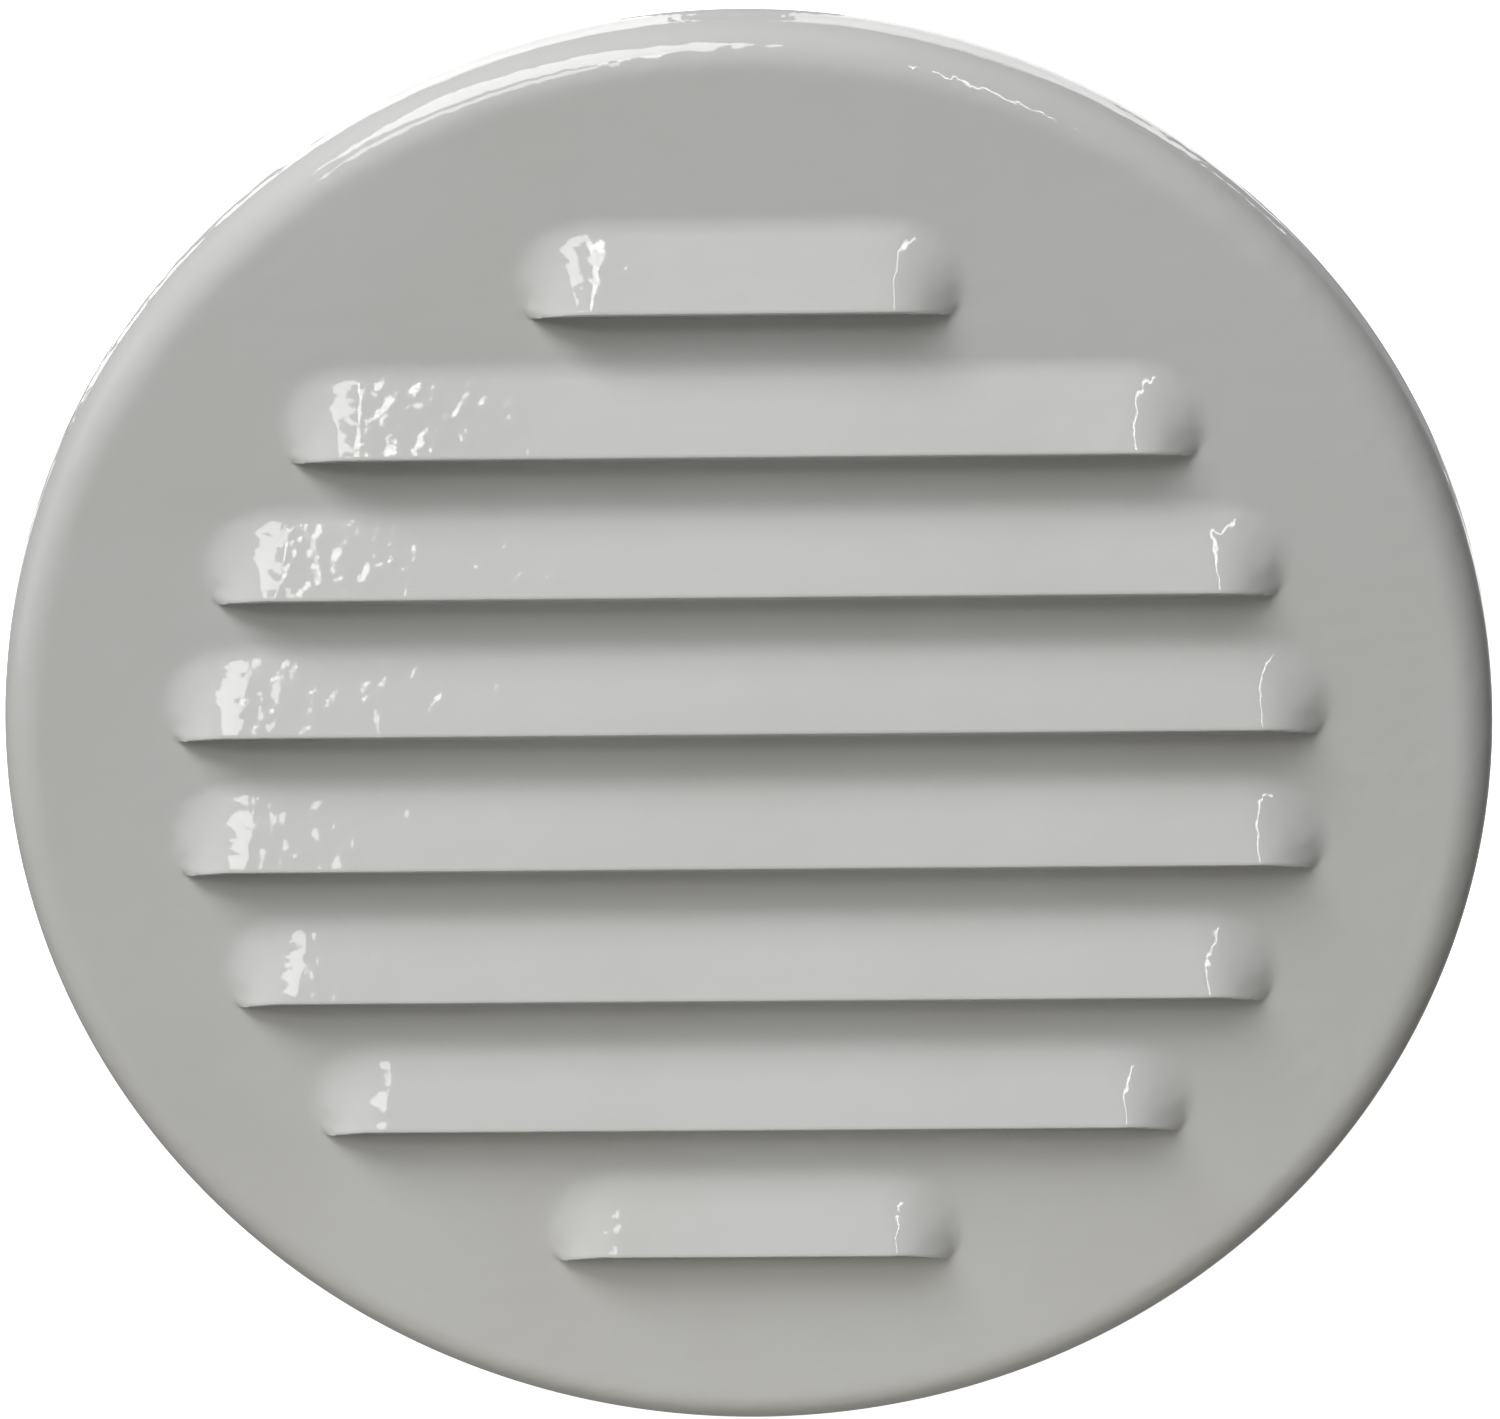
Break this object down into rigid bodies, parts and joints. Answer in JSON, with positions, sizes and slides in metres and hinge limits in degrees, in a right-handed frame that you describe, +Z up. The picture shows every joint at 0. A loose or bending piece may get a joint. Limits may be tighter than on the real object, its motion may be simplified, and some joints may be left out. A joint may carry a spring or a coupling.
{
  "type": "round louvred vent cover",
  "caption": "Round white sheet-metal vent cover with one-way hood louvres, insect mesh, and a collar whose sprung clips hold it in a round duct.",
  "frame": {"origin": "centre of the rim's back edge, on the plane of the wall that the cover closes", "axes": "+Y out of the back of the cover and into the duct, so the face looks along -Y; +Z up, away from the side that the louvres open to; +X to the right of someone who faces the cover"},
  "size_m": [0.16, 0.0508, 0.16],
  "materials": {
    "white_paint": "gloss white powder coat with orange peel, on 1 mm sheet steel",
    "stainless_mesh": "woven stainless wire",
    "zinc_sheet": "zinc-plated sheet steel",
    "zinc_fastener": "bright zinc plate",
    "bright_steel": "plain steel",
    "spring_steel": "oiled spring steel wire",
    "foam": "closed-cell foam",
    "rubber": "moulded rubber"
  },
  "bodies": {
    "cover": {"face_plate": "white_paint", "insect_mesh": "stainless_mesh", "spigot_collar": "zinc_sheet", "rim_gasket": "foam", "weld_stud_1": "bright_steel", "stud_washer_1": "zinc_fastener", "stud_nut_1": "zinc_fastener", "weld_stud_2": "bright_steel", "stud_washer_2": "zinc_fastener", "stud_nut_2": "zinc_fastener", "weld_stud_3": "bright_steel", "stud_washer_3": "zinc_fastener", "stud_nut_3": "zinc_fastener", "weld_stud_4": "bright_steel", "stud_washer_4": "zinc_fastener", "stud_nut_4": "zinc_fastener", "clip_bracket_1": "zinc_sheet", "rivet_a_1": "bright_steel", "rivet_b_1": "bright_steel", "pivot_pin_1": "bright_steel", "pin_washer_1": "spring_steel", "torsion_spring_1": "spring_steel", "clip_bracket_2": "zinc_sheet", "rivet_a_2": "bright_steel", "rivet_b_2": "bright_steel", "pivot_pin_2": "bright_steel", "pin_washer_2": "spring_steel", "torsion_spring_2": "spring_steel", "clip_bracket_3": "zinc_sheet", "rivet_a_3": "bright_steel", "rivet_b_3": "bright_steel", "pivot_pin_3": "bright_steel", "pin_washer_3": "spring_steel", "torsion_spring_3": "spring_steel"},
    "clip_lever_1": {"clip_arm_1": "zinc_sheet", "tip_sleeve_1": "rubber"},
    "clip_lever_2": {"clip_arm_2": "zinc_sheet", "tip_sleeve_2": "rubber"},
    "clip_lever_3": {"clip_arm_3": "zinc_sheet", "tip_sleeve_3": "rubber"}
  },
  "joints": [
    {"name": "clip_fold_1", "type": "hinge", "parent": "cover", "child": "clip_lever_1", "pos_m": [0, 0.024, 0.052], "axis": [1, 0, 0], "range_deg": [0, 32], "stiffness_Nm_per_rad": 0.03, "springref_deg": -51.57, "deforming": ["torsion_spring_1"]},
    {"name": "clip_fold_2", "type": "hinge", "parent": "cover", "child": "clip_lever_2", "pos_m": [-0.04503, 0.024, -0.026], "axis": [-0.5, 0, 0.866], "range_deg": [0, 32], "stiffness_Nm_per_rad": 0.03, "springref_deg": -51.57, "deforming": ["torsion_spring_2"]},
    {"name": "clip_fold_3", "type": "hinge", "parent": "cover", "child": "clip_lever_3", "pos_m": [0.04503, 0.024, -0.026], "axis": [-0.5, 0, -0.866], "range_deg": [0, 32], "stiffness_Nm_per_rad": 0.03, "springref_deg": -51.57, "deforming": ["torsion_spring_3"]}
  ]
}
